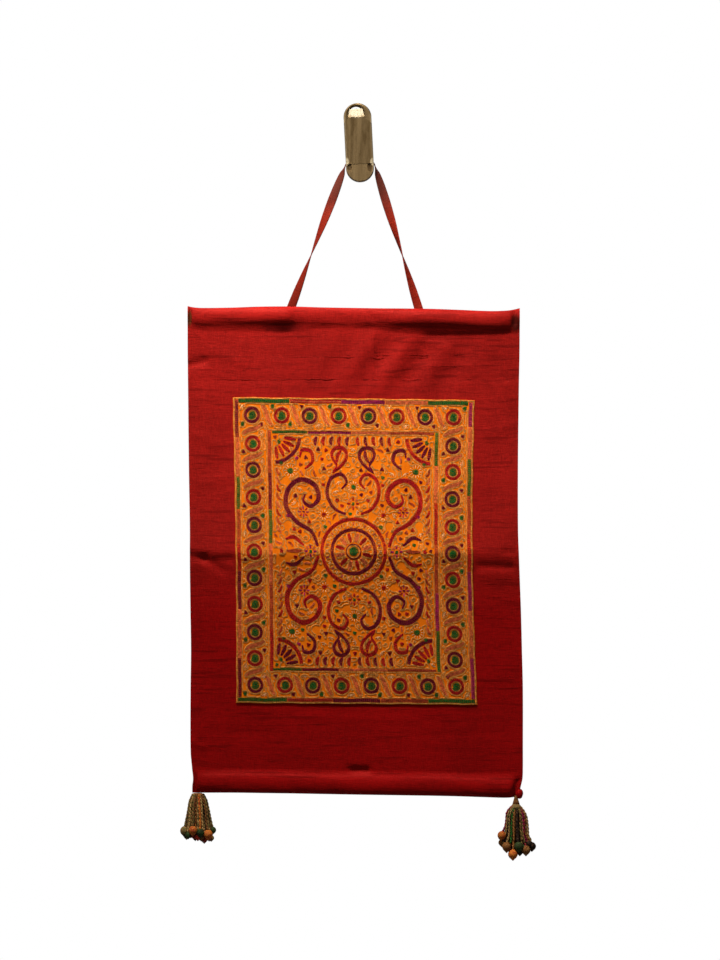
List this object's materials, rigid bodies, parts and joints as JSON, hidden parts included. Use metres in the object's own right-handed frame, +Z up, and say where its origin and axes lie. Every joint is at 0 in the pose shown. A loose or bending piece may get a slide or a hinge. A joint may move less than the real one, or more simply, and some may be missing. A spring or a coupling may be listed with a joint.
{
  "type": "embroidered textile panel with wall hook",
  "caption": "Hanging textile panel: red slubbed cloth with filled top and bottom sleeves, an orange embroidered rectangle, ball-ended tassels and a tape loop over a brass wall hook.",
  "frame": {"origin": "centre of the wall hook's flat back, on the wall plane", "axes": "+Z up, +Y into the wall, so the cloth's front faces -Y and its right-hand edge is at +X"},
  "size_m": [0.3648, 0.028, 0.7776],
  "materials": {
    "wall_hook": "worn satin",
    "hanging_ribbon": "woven",
    "ground_cloth": "slubbed silk",
    "embroidered_panel": "embroidered cloth",
    "tassel_left": "spun thread",
    "tassel_right": "spun thread"
  },
  "bodies": {
    "root": {"wall_hook": "wall_hook", "hanging_ribbon": "hanging_ribbon", "ground_cloth": "ground_cloth", "embroidered_panel": "embroidered_panel", "tassel_left": "tassel_left", "tassel_right": "tassel_right"}
  },
  "joints": []
}
